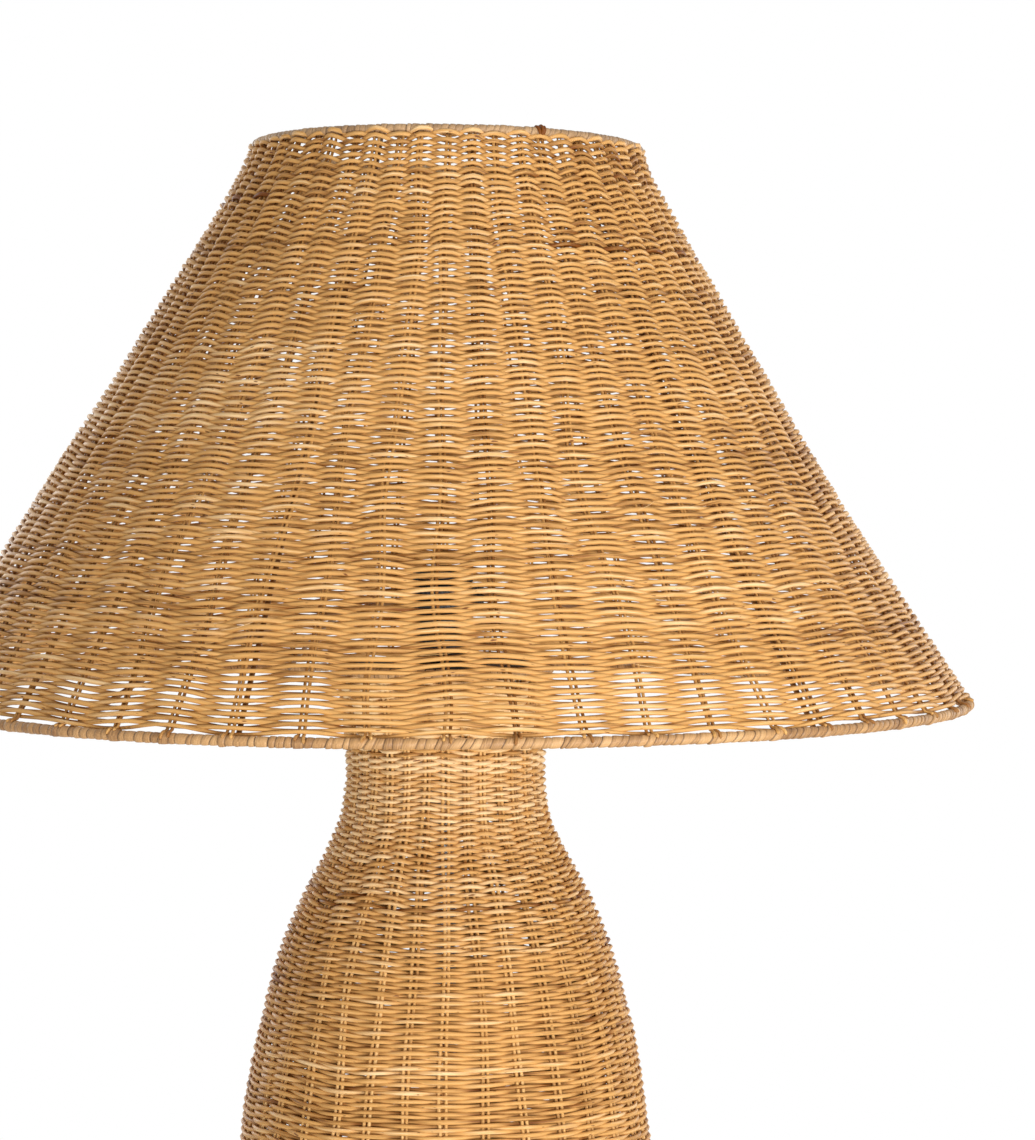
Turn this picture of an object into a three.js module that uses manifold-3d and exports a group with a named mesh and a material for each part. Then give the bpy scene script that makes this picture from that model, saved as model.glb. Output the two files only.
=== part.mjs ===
// A rattan floor lamp: a woven bottle-shaped stand under a wide woven cone shade.
// Millimetres, +Z up. The origin is on the floor under the middle of the lamp.
import * as THREE from "three";
import { mergeVertices } from "three/addons/utils/BufferGeometryUtils.js";
import Module from "manifold-3d";

// Driving dimensions of the stand
const capHeight = 1169; // floor to the top of the cap disc
const footRadius = 116;
const bellyRadius = 139;
const bellyHeight = 780;
const neckRadius = 64.5;
const neckDrop = 73; // from the cap's top down to the narrowest place
const lipRadius = 73;
const standWall = 7; // the woven wall at its stakes, measured level
const standStakes = 32; // pairs of stakes round the stand

// Driving dimensions of the shade
const shadeRise = 353; // between the middles of its two rims
const shadeTopRadius = 122.7; // to the middle of the wall
const shadeRimRadius = 336.5; // to the middle of the wall
const shadeHollow = 3.4; // how far the side dips inside a straight cone
const shadeFlare = 4; // how far the top ring draws the weave out of the cone
const shadeFlareDepth = 30; // from the top ring down
const shadeWall = 7.6; // the woven wall at its stakes, measured level
const shadeStakes = 54; // pairs of stakes round the shade
const spiderRise = 66.5; // from the rim's middle up to the hub's middle

// Rods and bindings
const bindingDiameter = 7; // the bound rims of the foot, the lip and the shade's rim
const topBindingDiameter = 6;
const rimRodDiameter = 4;
const topRodDiameter = 3.2;
const uprightDiameter = 6;
const hoopDiameter = 5;
const ribDiameter = 3.2;
const armDiameter = 3.2;
const slitWidth = 0.8; // where the stakes go through a binding
const weaveDip = 2; // how far each face of a woven wall draws in between two stakes

// Base
const padHeight = 4;
const padDiameter = 22;
const padInset = 8; // from the plate's edge to the pad's edge
const plateThickness = 14;
const plateChamfer = 1.5;
const footClearance = 2; // from the floor to the foot's binding

// Centre tube and its fittings
const tubeDiameter = 16;
const nippleDiameter = 10;
const nippleBore = 7;
const nippleHold = 15; // length of a nipple inside the tube
const washerDiameter = 24;
const washerThickness = 1.6;
const nutWidth = 14; // across the flats
const nutThickness = 4;
const capThickness = 3;

// Lampholder, its heights counted from the cap disc's top
const holderHeight = 59;
const holderBaseRadius = 22.5;
const holderBaseRim = 3;
const holderCapHeight = 15;
const holderCapFloor = 4;
const skirtDiameter = 39.5;
const skirtWall = 2.2;
const skirtLip = 1.4;
const coreFloor = 12.5;
const coreWall = 2.6;
const coreRecess = 2.5; // from the skirt's mouth down to the core's edge
const screwShellWall = 0.9;
const screwShellHeight = 24;
const contactWidth = 7;
const contactThickness = 0.8;
const contactRise = 5;
const screwHeadDiameter = 5.5;
const screwHeadHeight = 1.8;
const screwShankDiameter = 3;
const screwShankLength = 6;
const nippleReach = 11; // of the top nipple, up into the lampholder

// Ring nuts and hub
const hubHeight = 43; // from the cap disc's top to the hub's middle
const hubThickness = 2;
const hubBore = 42;
const hubDiameter = 54;
const ringNutDiameter = 53;
const ringNutHeight = 6;
const ringNutChamfer = 0.8;

// Cord outlet low on the back
const bushHeight = 34;
const bushBore = 7.5;
const bushDiameter = 12;
const bushFlangeDiameter = 20;
const bushFlange = 2;
const bushInside = 8;

// Clearances
const seatGap = 0.3; // between faces that rest on each other
const threadGap = 0.3; // on the radius, where one piece screws into another
const overrun = 2; // of a cutting tool past what it cuts

// Numbers of sides, steps and copies
const standSides = 32;
const shadeSides = 36;
const smallSides = 24;
const holeSides = 12;
const rodSides = 6;
const hoopSides = 5;
const bindingSides = 6;
const bindingInnerSides = 5;
const nutSides = 6;
const lowerLevels = 4;
const neckLevels = 2;
const uprightCount = 4;
const padCount = 4;
const ribCount = 6;
const armCount = 3;

// Directions round the lamp, in degrees from +X
const fullTurn = 360;
const uprightTurn = 45;
const padTurn = 45;
const ribTurn = 10;
const armTurn = 230;

// The shoulder from the neck down to the belly, as shares of its height and of its growth in radius
const shoulderShares = [
  [0.09, 0.05],
  [0.15, 0.17],
  [0.21, 0.31],
  [0.27, 0.44],
  [0.33, 0.55],
  [0.41, 0.66],
  [0.53, 0.78],
  [0.66, 0.88],
  [0.82, 0.965],
];

// Where the shade's wall has its stations, as shares of its height
const shadeShares = [0, 0.2, 0.4, 0.6, 0.78, 0.92, 1];

// Heights of the stand's inner hoops, the lower one as a share of the belly's height
const lowerHoopShare = 0.5;
const shoulderHoopShare = 0.34; // from the neck down to the belly

// Where a spider arm bends, as shares of its reach from the rim and of its rise
const armBendShares = [
  [0.16, 0.31],
  [0.34, 0.62],
  [0.6, 0.82],
];

// How far an arm's square end stands off the bound rim, as a share of its diameter
const armEndShare = 0.25;

// Worked out from the sizes above
const plateBottom = padHeight + seatGap;
const plateTop = plateBottom + plateThickness;
const nutBottom = plateBottom + seatGap;
const washerBottom = nutBottom + nutThickness + seatGap;
const pocketTop = washerBottom + washerThickness + seatGap;
const footRingHeight = footClearance + bindingDiameter / 2;
const neckHeight = capHeight - neckDrop;
const lipRingHeight = capHeight - capThickness;
const hubMiddle = capHeight + hubHeight;
const rimHeight = hubMiddle - spiderRise;
const skirtRadius = skirtDiameter / 2;
const holeRadius = nippleDiameter / 2 + threadGap;
const tubeTop = -capThickness - seatGap - washerThickness - seatGap - nutThickness - seatGap;

const wasm = await Module();
wasm.setup();

// Materials
const rattan = new THREE.MeshStandardMaterial({ color: 0xc9955a, roughness: 0.62, metalness: 0 });
const peel = new THREE.MeshStandardMaterial({ color: 0xc3a073, roughness: 0.6, metalness: 0 });
const paintedSteel = new THREE.MeshStandardMaterial({ color: 0x8c6a48, roughness: 0.5, metalness: 0.3 });
const zincSteel = new THREE.MeshStandardMaterial({ color: 0xb4b6b8, roughness: 0.35, metalness: 1 });
const blackSteel = new THREE.MeshStandardMaterial({ color: 0x26262a, roughness: 0.5, metalness: 0.6 });
const blackPlastic = new THREE.MeshStandardMaterial({ color: 0x151517, roughness: 0.4, metalness: 0 });
const coreCeramic = new THREE.MeshStandardMaterial({ color: 0xe9e6df, roughness: 0.3, metalness: 0 });
const brass = new THREE.MeshStandardMaterial({ color: 0xc9a24a, roughness: 0.3, metalness: 1 });
const rubber = new THREE.MeshStandardMaterial({ color: 0x1d1d1d, roughness: 0.85, metalness: 0 });

// Directions of copies spread evenly round the lamp
function spread(count, first) {
  return Array.from({ length: count }, (_, i) => first + (fullTurn * i) / count);
}

// A named mesh at a height
function piece(name, geometry, material, height = 0) {
  const mesh = new THREE.Mesh(geometry, material);
  mesh.name = name;
  mesh.position.z = height;
  return mesh;
}

// An outline of [radius, height] pairs, turned round the Z axis
function turned(outline, sides) {
  const points = outline.map(([radius, height]) => new THREE.Vector2(radius, height));
  if (THREE.ShapeUtils.area(points) < 0) points.reverse();
  const onAxis = outline.some(([radius]) => radius === 0);
  if (!onAxis) points.push(points[0].clone());
  return new THREE.LatheGeometry(points, sides).rotateX(Math.PI / 2);
}

// A woven wall round the Z axis, full at each pair of stakes and drawn in halfway to the next
function wovenWall(outer, inner, stakes) {
  const outline = [...outer, ...inner.toReversed()];
  const geometry = turned(outline, 2 * stakes);
  const place = geometry.attributes.position;
  const column = outline.length + 1;
  for (let i = 0; i < place.count; i++) {
    if (Math.floor(i / column) % 2 === 0) continue;
    const station = (i % column) % outline.length;
    const [radius] = outline[station];
    const dip = station < outer.length ? -weaveDip : weaveDip;
    place.setX(i, (place.getX(i) * (radius + dip)) / radius);
    place.setY(i, (place.getY(i) * (radius + dip)) / radius);
  }
  geometry.computeVertexNormals();
  return geometry;
}

// A plain tube that stands on one height and ends at another
function sleeve(inner, outer, bottom, top, sides = smallSides) {
  return turned([[inner, bottom], [outer, bottom], [outer, top], [inner, top]], sides);
}

// A ring of round rod
function hoop(radius, height, diameter, sides) {
  const section = polygon(diameter / 2, hoopSides);
  return turned(section.map(({ x, y }) => [radius + x, height + y]), sides);
}

// The peel bound round a ring of rod, open along a slit that faces the weave
function binding(radius, height, diameter, rodDiameter, slitTurn, sides) {
  const inner = (rodDiameter / 2 + seatGap) / Math.cos(Math.PI / bindingInnerSides);
  const section = [];
  for (const [reach, count, way] of [[diameter / 2, bindingSides, 1], [inner, bindingInnerSides, -1]]) {
    const margin = Math.asin(slitWidth / 2 / reach);
    for (let i = 0; i <= count; i++) {
      const step = way > 0 ? i : count - i;
      const turn = slitTurn + margin + ((2 * Math.PI - 2 * margin) * step) / count;
      section.push([radius + reach * Math.cos(turn), height + reach * Math.sin(turn)]);
    }
  }
  return turned(section, sides);
}

// A path of straight lengths, with one step of the rod for each
class JointedPath extends THREE.Curve {
  constructor(points) {
    super();
    this.points = points;
  }

  getPoint(t, target = new THREE.Vector3()) {
    const along = t * (this.points.length - 1);
    const i = Math.min(Math.floor(along), this.points.length - 2);
    return target.lerpVectors(this.points[i], this.points[i + 1], along - i);
  }

  getUtoTmapping(u) {
    return u;
  }
}

// The corners of a flat figure with equal sides
function polygon(radius, sides) {
  return Array.from({ length: sides }, (_, i) => {
    const turn = (2 * Math.PI * i) / sides;
    return new THREE.Vector2(radius * Math.cos(turn), radius * Math.sin(turn));
  });
}

// A rod through [radius, height] pairs, in the upright plane at an angle in degrees
function rod(stations, diameter, degrees) {
  const turn = THREE.MathUtils.degToRad(degrees);
  const path = new JointedPath(
    stations.map(([r, z]) => new THREE.Vector3(r * Math.cos(turn), r * Math.sin(turn), z)),
  );
  return new THREE.ExtrudeGeometry(new THREE.Shape(polygon(diameter / 2, rodSides)), {
    steps: stations.length - 1,
    extrudePath: path,
    bevelEnabled: false,
  });
}

// A closed geometry as a solid that can be cut
function toSolid(geometry) {
  const bare = geometry.clone();
  bare.deleteAttribute("normal");
  bare.deleteAttribute("uv");
  const merged = mergeVertices(bare);
  const vertProperties = merged.attributes.position.array;
  const triVerts = new Uint32Array(merged.index.array);
  return new wasm.Manifold(new wasm.Mesh({ numProp: 3, vertProperties, triVerts }));
}

// A geometry less its cutting tools
function cut(geometry, ...tools) {
  const solid = tools.reduce((left, tool) => left.subtract(toSolid(tool)), toSolid(geometry));
  const mesh = solid.getMesh();
  const result = new THREE.BufferGeometry();
  result.setAttribute("position", new THREE.BufferAttribute(mesh.vertProperties, mesh.numProp));
  result.setIndex(new THREE.BufferAttribute(mesh.triVerts, 1));
  result.computeVertexNormals();
  return result;
}

// The stand's outer surface, [radius, height] from the floor to the cap
function standOutline() {
  const outline = [];
  for (let i = 0; i < lowerLevels; i++) {
    const share = i / lowerLevels;
    const swell = Math.sin((share * Math.PI) / 2);
    outline.push([footRadius + (bellyRadius - footRadius) * swell, bellyHeight * share]);
  }
  outline.push([bellyRadius, bellyHeight]);
  for (const [down, grown] of shoulderShares.toReversed()) {
    const height = neckHeight - (neckHeight - bellyHeight) * down;
    outline.push([neckRadius + (bellyRadius - neckRadius) * grown, height]);
  }
  for (let i = 0; i <= neckLevels; i++) {
    const share = i / neckLevels;
    outline.push([neckRadius + (lipRadius - neckRadius) * share ** 2, neckHeight + neckDrop * share]);
  }
  return outline;
}

const standStations = standOutline();

// The straight length of the stand's outline that holds a height
function standLength(height) {
  const last = standStations.length - 1;
  const above = Math.max(1, standStations.findIndex(([, z]) => z > height));
  const upper = height >= standStations[last][1] ? last : above;
  return [standStations[upper - 1], standStations[upper]];
}

function standRadius(height) {
  const [[lowRadius, low], [highRadius, high]] = standLength(height);
  return lowRadius + ((highRadius - lowRadius) * (height - low)) / (high - low);
}

// How far the stand's wall leans from upright at a height, in radians
function standLean(height) {
  const [[lowRadius, low], [highRadius, high]] = standLength(height);
  return Math.atan(Math.abs(highRadius - lowRadius) / (high - low));
}

// The stand's outline between two heights, set in by a level distance
function standRun(bottom, top, inset) {
  const between = standStations.filter(([, z]) => z > bottom && z < top);
  const run = [[standRadius(bottom), bottom], ...between, [standRadius(top), top]];
  return run.map(([radius, height]) => [radius - inset, height]);
}

// The middle of the shade's wall, at a height over the rim's middle
function shadeRadius(height) {
  const down = 1 - height / shadeRise;
  const coneTop = shadeTopRadius - shadeFlare;
  const straight = coneTop + (shadeRimRadius - coneTop) * down;
  const flare = Math.max(0, 1 - (shadeRise - height) / shadeFlareDepth) ** 2;
  return straight - 4 * shadeHollow * down * (1 - down) + shadeFlare * flare;
}

// How far the shade's wall leans from upright at its rim, in radians
function shadeRimLean() {
  const growth = shadeRimRadius - shadeTopRadius + shadeFlare;
  return Math.atan((growth + 4 * shadeHollow) / shadeRise);
}

// The shade's wall between two heights over the rim, moved out by a level distance
function shadeRun(bottom, top, offset) {
  return shadeShares.map((share) => {
    const height = bottom + (top - bottom) * share;
    return [shadeRadius(height) + offset, height];
  });
}

// The woven wall of the stand, with the hole for the cord's bush
function standWeave() {
  const bottom = footRingHeight + bindingDiameter / 2 + seatGap;
  const top = lipRingHeight - bindingDiameter / 2 - seatGap;
  const wall = wovenWall(standRun(bottom, top, 0), standRun(bottom, top, standWall), standStakes);
  const radius = bushDiameter / 2 + seatGap;
  const length = standWall + 2 * overrun;
  const drill = new THREE.CylinderGeometry(radius, radius, length, holeSides);
  drill.translate(0, standRadius(bushHeight) - standWall / 2, bushHeight);
  return piece("stand_weave", cut(wall, drill), rattan);
}

// A ring of rod in the stand's wall and the peel bound round it, with the slit towards the weave
function standRim(name, height, slitTurn) {
  const radius = standRadius(height) - standWall / 2;
  return [
    piece(`${name}_ring`, hoop(radius, height, rimRodDiameter, standSides), paintedSteel),
    piece(
      `${name}_binding`,
      binding(radius, height, bindingDiameter, rimRodDiameter, slitTurn, standSides),
      peel,
    ),
  ];
}

// Level distance from the stand's outer surface in to the middle of an upright
function uprightInset() {
  const lean = Math.max(...standStations.map(([, height]) => standLean(height)));
  return standWall + (uprightDiameter / 2 + seatGap) / Math.cos(lean);
}

// The height that an upright's square end stays clear of, however its wall leans there
function uprightEnd(height, way) {
  return height + way * (seatGap + (uprightDiameter / 2) * Math.sin(standLean(height)));
}

function uprights() {
  const stations = standRun(uprightEnd(plateTop, 1), uprightEnd(lipRingHeight, -1), uprightInset());
  return spread(uprightCount, uprightTurn).map((degrees, i) =>
    piece(`upright_${i + 1}`, rod(stations, uprightDiameter, degrees), paintedSteel),
  );
}

// A hoop welded inside the uprights
function frameHoop(name, height) {
  const reach = (uprightDiameter / 2 + seatGap + hoopDiameter / 2) / Math.cos(standLean(height));
  const radius = standRadius(height) - uprightInset() - reach;
  return piece(name, hoop(radius, height, hoopDiameter, standSides), paintedSteel);
}

function standFrame() {
  const shoulderHeight = neckHeight - (neckHeight - bellyHeight) * shoulderHoopShare;
  return [
    ...uprights(),
    frameHoop("lower_hoop", bellyHeight * lowerHoopShare),
    frameHoop("belly_hoop", bellyHeight),
    frameHoop("shoulder_hoop", shoulderHeight),
    frameHoop("neck_hoop", neckHeight),
  ];
}

// The round weight in the foot, with a pocket under it for the nut
function basePlate() {
  const radius = standRadius(footRingHeight) - standWall - seatGap;
  const pocketRadius = washerDiameter / 2 + seatGap;
  const outline = [
    [pocketRadius, plateBottom],
    [radius - plateChamfer, plateBottom],
    [radius, plateBottom + plateChamfer],
    [radius, plateTop - plateChamfer],
    [radius - plateChamfer, plateTop],
    [holeRadius, plateTop],
    [holeRadius, pocketTop],
    [pocketRadius, pocketTop],
  ];
  return piece("base_plate", turned(outline, standSides), blackSteel);
}

function footPads() {
  const reach = standRadius(footRingHeight) - standWall - padInset - padDiameter / 2;
  const outline = [[0, 0], [padDiameter / 2, 0], [padDiameter / 2, padHeight], [0, padHeight]];
  return spread(padCount, padTurn).map((degrees, i) => {
    const turn = THREE.MathUtils.degToRad(degrees);
    const pad = piece(`foot_pad_${i + 1}`, turned(outline, holeSides), rubber);
    pad.position.set(reach * Math.cos(turn), reach * Math.sin(turn), 0);
    return pad;
  });
}

function nippleGeometry(bottom, top) {
  return sleeve(nippleBore / 2, nippleDiameter / 2, bottom, top);
}

function washerGeometry(bottom) {
  return sleeve(holeRadius, washerDiameter / 2, bottom, bottom + washerThickness);
}

function nutGeometry(bottom) {
  const corner = nutWidth / 2 / Math.cos(Math.PI / nutSides);
  const outline = new THREE.Shape(polygon(corner, nutSides));
  outline.holes.push(new THREE.Path(polygon(holeRadius, holeSides).reverse()));
  const geometry = new THREE.ExtrudeGeometry(outline, { depth: nutThickness, bevelEnabled: false });
  return geometry.translate(0, 0, bottom);
}

// The tube from the base plate to the cap disc, with what clamps its two ends
function centreColumn() {
  const tubeBottom = plateTop + seatGap;
  const capUnderside = -capThickness - seatGap;
  const tube = sleeve(holeRadius, tubeDiameter / 2, tubeBottom, capHeight + tubeTop);
  return [
    piece("centre_tube", tube, zincSteel),
    piece("base_nipple", nippleGeometry(nutBottom, tubeBottom + nippleHold), zincSteel),
    piece("base_washer", washerGeometry(washerBottom), zincSteel),
    piece("base_nut", nutGeometry(nutBottom), zincSteel),
    piece("cap_nipple", nippleGeometry(tubeTop - nippleHold, nippleReach), zincSteel, capHeight),
    piece("cap_washer", washerGeometry(capUnderside - washerThickness), zincSteel, capHeight),
    piece("cap_nut", nutGeometry(tubeTop + seatGap), zincSteel, capHeight),
  ];
}

// The disc that closes the neck and carries the lampholder
function capDisc() {
  const radius = standRadius(lipRingHeight) - standWall / 2 - bindingDiameter / 2 - seatGap;
  return piece("cap_disc", sleeve(holeRadius, radius, -capThickness, 0, standSides), blackSteel, capHeight);
}

// The bush where a cord leaves the weave
function cordBush() {
  const flangeStart = standRadius(bushHeight + bushFlangeDiameter / 2) + seatGap;
  const inside = standRadius(bushHeight) - standWall - bushInside;
  const outline = [
    [bushBore / 2, inside],
    [bushDiameter / 2, inside],
    [bushDiameter / 2, flangeStart],
    [bushFlangeDiameter / 2, flangeStart],
    [bushFlangeDiameter / 2, flangeStart + bushFlange],
    [bushBore / 2, flangeStart + bushFlange],
  ];
  const bush = piece("cord_bush", turned(outline, holeSides), blackPlastic, bushHeight);
  bush.rotation.x = -Math.PI / 2;
  return bush;
}

// The lampholder's lower cap, which screws on the nipple
function holderCap() {
  const inner = skirtRadius - skirtWall;
  const outline = [
    [holeRadius, seatGap],
    [holderBaseRadius, seatGap],
    [holderBaseRadius, holderBaseRim],
    [skirtRadius, holderCapHeight],
    [inner, holderCapHeight],
    [inner, holderCapFloor],
    [holeRadius, holderCapFloor],
  ];
  return piece("holder_cap", turned(outline, smallSides), blackPlastic);
}

// The skirt that the ring nuts screw on, with a lip turned in at its mouth
function holderSkirt() {
  const bottom = holderCapHeight + seatGap;
  const inner = skirtRadius - skirtWall;
  const outline = [
    [inner, bottom],
    [skirtRadius, bottom],
    [skirtRadius, holderHeight],
    [inner - skirtLip, holderHeight],
    [inner - skirtLip, holderHeight - skirtLip],
    [inner, holderHeight - skirtLip],
  ];
  return piece("holder_skirt", turned(outline, smallSides), blackPlastic);
}

const coreRadius = skirtRadius - skirtWall - seatGap;
const coreBottom = holderCapHeight + seatGap;
const coreTop = coreBottom + coreFloor;
const screwTurnRadius = coreRadius - coreWall - screwHeadDiameter / 2;

// The insulating core, a cup with two screw holes in its underside
function holderCore() {
  const inner = coreRadius - coreWall;
  const edge = holderHeight - coreRecess;
  const outline = [
    [0, coreBottom],
    [coreRadius, coreBottom],
    [coreRadius, edge],
    [inner, edge],
    [inner, coreTop],
    [0, coreTop],
  ];
  const drills = [-screwTurnRadius, screwTurnRadius].map((x) => {
    const radius = screwShankDiameter / 2 + threadGap;
    const depth = screwShankLength + threadGap + overrun;
    const drill = new THREE.CylinderGeometry(radius, radius, depth, holeSides).rotateX(Math.PI / 2);
    return drill.translate(x, 0, coreBottom + screwShankLength + threadGap - depth / 2);
  });
  return piece("holder_core", cut(turned(outline, smallSides), ...drills), coreCeramic);
}

function holderScrewShell() {
  const outer = coreRadius - coreWall - threadGap;
  const bottom = coreTop + seatGap;
  const geometry = sleeve(outer - screwShellWall, outer, bottom, bottom + screwShellHeight);
  return piece("holder_screw_shell", geometry, brass);
}

// The springy tongue in the middle of the core
function holderContact() {
  const foot = coreTop + seatGap;
  const half = contactWidth / 2;
  const side = new THREE.Shape([
    new THREE.Vector2(-contactWidth, foot),
    new THREE.Vector2(-half, foot),
    new THREE.Vector2(half, foot + contactRise),
    new THREE.Vector2(half, foot + contactRise + contactThickness),
    new THREE.Vector2(-half - contactThickness, foot + contactThickness),
    new THREE.Vector2(-contactWidth, foot + contactThickness),
  ]);
  const geometry = new THREE.ExtrudeGeometry(side, { depth: contactWidth, bevelEnabled: false });
  geometry.rotateX(Math.PI / 2).translate(0, half, 0);
  return piece("holder_contact", geometry, brass);
}

function terminalScrews() {
  const headTop = coreBottom - seatGap;
  const outline = [
    [0, headTop - screwHeadHeight],
    [screwHeadDiameter / 2, headTop - screwHeadHeight],
    [screwHeadDiameter / 2, headTop],
    [screwShankDiameter / 2, headTop],
    [screwShankDiameter / 2, coreBottom + screwShankLength - seatGap],
    [0, coreBottom + screwShankLength - seatGap],
  ];
  return [-screwTurnRadius, screwTurnRadius].map((x, i) => {
    const screw = piece(`terminal_screw_${i + 1}`, turned(outline, holeSides), brass);
    screw.position.x = x;
    return screw;
  });
}

// A ring nut on the skirt, from a height over the cap disc up
function ringNut(name, bottom) {
  const inner = skirtRadius + threadGap;
  const outer = ringNutDiameter / 2;
  const top = bottom + ringNutHeight;
  const outline = [
    [inner, bottom],
    [outer - ringNutChamfer, bottom],
    [outer, bottom + ringNutChamfer],
    [outer, top - ringNutChamfer],
    [outer - ringNutChamfer, top],
    [inner, top],
  ];
  return piece(name, turned(outline, smallSides), blackPlastic);
}

function lampholder() {
  const group = new THREE.Group();
  group.position.z = capHeight;
  const hubBottom = hubHeight - hubThickness / 2;
  group.add(
    holderCap(),
    holderSkirt(),
    holderCore(),
    holderScrewShell(),
    holderContact(),
    ...terminalScrews(),
    ringNut("seat_ring", hubBottom - seatGap - ringNutHeight),
    ringNut("clamp_ring", hubBottom + hubThickness + seatGap),
  );
  return group;
}

// The woven cone, which ends between its two bound rims
function shadeWeave() {
  const bottom = bindingDiameter / 2 + seatGap;
  const top = shadeRise - topBindingDiameter / 2 - seatGap;
  const outer = shadeRun(bottom, top, shadeWall / 2);
  const inner = shadeRun(bottom, top, -shadeWall / 2);
  return piece("shade_weave", wovenWall(outer, inner, shadeStakes), rattan);
}

function shadeRims() {
  const lean = shadeRimLean();
  const upSlit = Math.PI / 2 + lean;
  const downSlit = lean - Math.PI / 2;
  const rim = [shadeRimRadius, 0];
  const top = [shadeTopRadius, shadeRise];
  return [
    piece("shade_rim_ring", hoop(...rim, rimRodDiameter, shadeSides), paintedSteel),
    piece("shade_rim_binding", binding(...rim, bindingDiameter, rimRodDiameter, upSlit, shadeSides), peel),
    piece("shade_top_ring", hoop(...top, topRodDiameter, shadeSides), paintedSteel),
    piece(
      "shade_top_binding",
      binding(...top, topBindingDiameter, topRodDiameter, downSlit, shadeSides),
      peel,
    ),
  ];
}

// The wires inside the weave from rim to rim
function shadeRibs() {
  const inset = (bindingDiameter / 2 + seatGap + ribDiameter / 2) / Math.cos(shadeRimLean());
  const stations = shadeRun(0, shadeRise, -inset);
  return spread(ribCount, ribTurn).map((degrees, i) =>
    piece(`shade_rib_${i + 1}`, rod(stations, ribDiameter, degrees), paintedSteel),
  );
}

// The hub over the seat ring and the bent arms out to the rim
function spider() {
  const hubRadius = hubDiameter / 2;
  const hubBottom = spiderRise - hubThickness / 2;
  const hub = sleeve(hubBore / 2, hubRadius, hubBottom, hubBottom + hubThickness);
  const start = hubRadius + seatGap;
  const aim = [shadeRimRadius, -armDiameter / 2 - seatGap];
  const bends = armBendShares.map(([reach, rise]) => [
    shadeRimRadius - (shadeRimRadius - start) * reach,
    spiderRise * rise,
  ]);
  const lean = Math.atan2(bends[0][1] - aim[1], aim[0] - bends[0][0]);
  const short = bindingDiameter / 2 + seatGap + armDiameter * armEndShare;
  const end = [aim[0] - short * Math.cos(lean), aim[1] + short * Math.sin(lean)];
  const stations = [end, ...bends, [start, spiderRise]];
  const arms = spread(armCount, armTurn).map((degrees, i) =>
    piece(`spider_arm_${i + 1}`, rod(stations, armDiameter, degrees), paintedSteel),
  );
  return [piece("spider_hub", hub, blackSteel), ...arms];
}

function shade() {
  const group = new THREE.Group();
  group.position.z = rimHeight;
  group.add(shadeWeave(), ...shadeRims(), ...shadeRibs(), ...spider());
  return group;
}

const lamp = new THREE.Group();
lamp.add(
  standWeave(),
  ...standRim("foot", footRingHeight, Math.PI / 2),
  ...standRim("lip", lipRingHeight, -Math.PI / 2),
  ...standFrame(),
  basePlate(),
  ...footPads(),
  ...centreColumn(),
  capDisc(),
  cordBush(),
  lampholder(),
  shade(),
);

export default lamp;
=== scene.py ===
# A rattan floor lamp: woven stand and shade, bound rims, wire frames and a screw lampholder.
import math

import bpy
import numpy as np
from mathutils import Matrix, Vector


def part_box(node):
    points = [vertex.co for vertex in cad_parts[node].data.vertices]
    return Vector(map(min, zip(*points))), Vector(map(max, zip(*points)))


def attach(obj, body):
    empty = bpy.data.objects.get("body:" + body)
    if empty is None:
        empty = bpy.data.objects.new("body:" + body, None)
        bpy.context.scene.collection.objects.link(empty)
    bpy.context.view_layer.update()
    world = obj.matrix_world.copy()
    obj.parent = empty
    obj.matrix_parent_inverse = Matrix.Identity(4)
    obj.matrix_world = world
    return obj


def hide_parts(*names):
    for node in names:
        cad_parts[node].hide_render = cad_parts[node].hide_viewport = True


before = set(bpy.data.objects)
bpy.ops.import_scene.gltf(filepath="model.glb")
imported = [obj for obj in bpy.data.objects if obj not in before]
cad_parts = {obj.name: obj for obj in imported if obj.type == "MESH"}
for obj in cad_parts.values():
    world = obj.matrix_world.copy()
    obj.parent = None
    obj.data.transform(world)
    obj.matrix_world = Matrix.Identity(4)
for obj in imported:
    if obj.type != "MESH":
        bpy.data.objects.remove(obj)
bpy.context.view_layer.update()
scene = bpy.context.scene
draw = np.random.default_rng(11)
MM = 0.001

# The photograph, in pixels, and where the camera stands, in metres
PHOTO_WIDE, PHOTO_HIGH = 1035, 1140
FOCAL_PIXELS = 3256
AXIS_PIXEL = 442.7
HORIZON_PIXEL = 461
CAMERA_DISTANCE = 2.1
CAMERA_HEIGHT = 1.299
FILM = 36

# Directions round the lamp, in radians from +X
FRONT = -math.pi / 2
BACK = math.pi / 2
LEFT = math.pi

# Canes
SHADE_WEAVER = 2.8 * MM
STAND_WEAVER = 2.8 * MM
SHADE_STAKE = 2.0 * MM
STAND_STAKE = 2.35 * MM
SHADE_REACH = 2.3 * MM
STAND_REACH = 2.2 * MM
PEEL_KNOT = 2.1 * MM
FIBRE = 0.38 * MM

# Points of a weaver from one pair of stakes to the next, and the sides of canes, rods and fibres
STEPS = 4
CANE_SIDES = 6
ROD_SIDES = 12
FIBRE_SIDES = 4

# The stakes: the lengths of their waves in metres, the gap in a pair in mm, and how they end under the wall
WANDER_WAVES = (0.12, 0.5)
GAP_WAVES = (0.06, 0.3)
PUSH_WAVES = (0.05, 0.25)
PUSH = 0.35 * MM
STAKE_STEP = 7 * MM
STAKE_BELOW = 0.5 * MM
STAKE_ABOVE = 2 * MM
STAKE_OVER = 0.3
STAKE_GAP, GAP_CHANGE, GAP_RANGE = 0.38, 0.5, (0.05, 1.2)
TIP_ANGLES = (-20, 60)
TIP_SPREADS = (0.2, 1.6)
TIP_POINTS = 6
SHUT_END = 0.01

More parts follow.
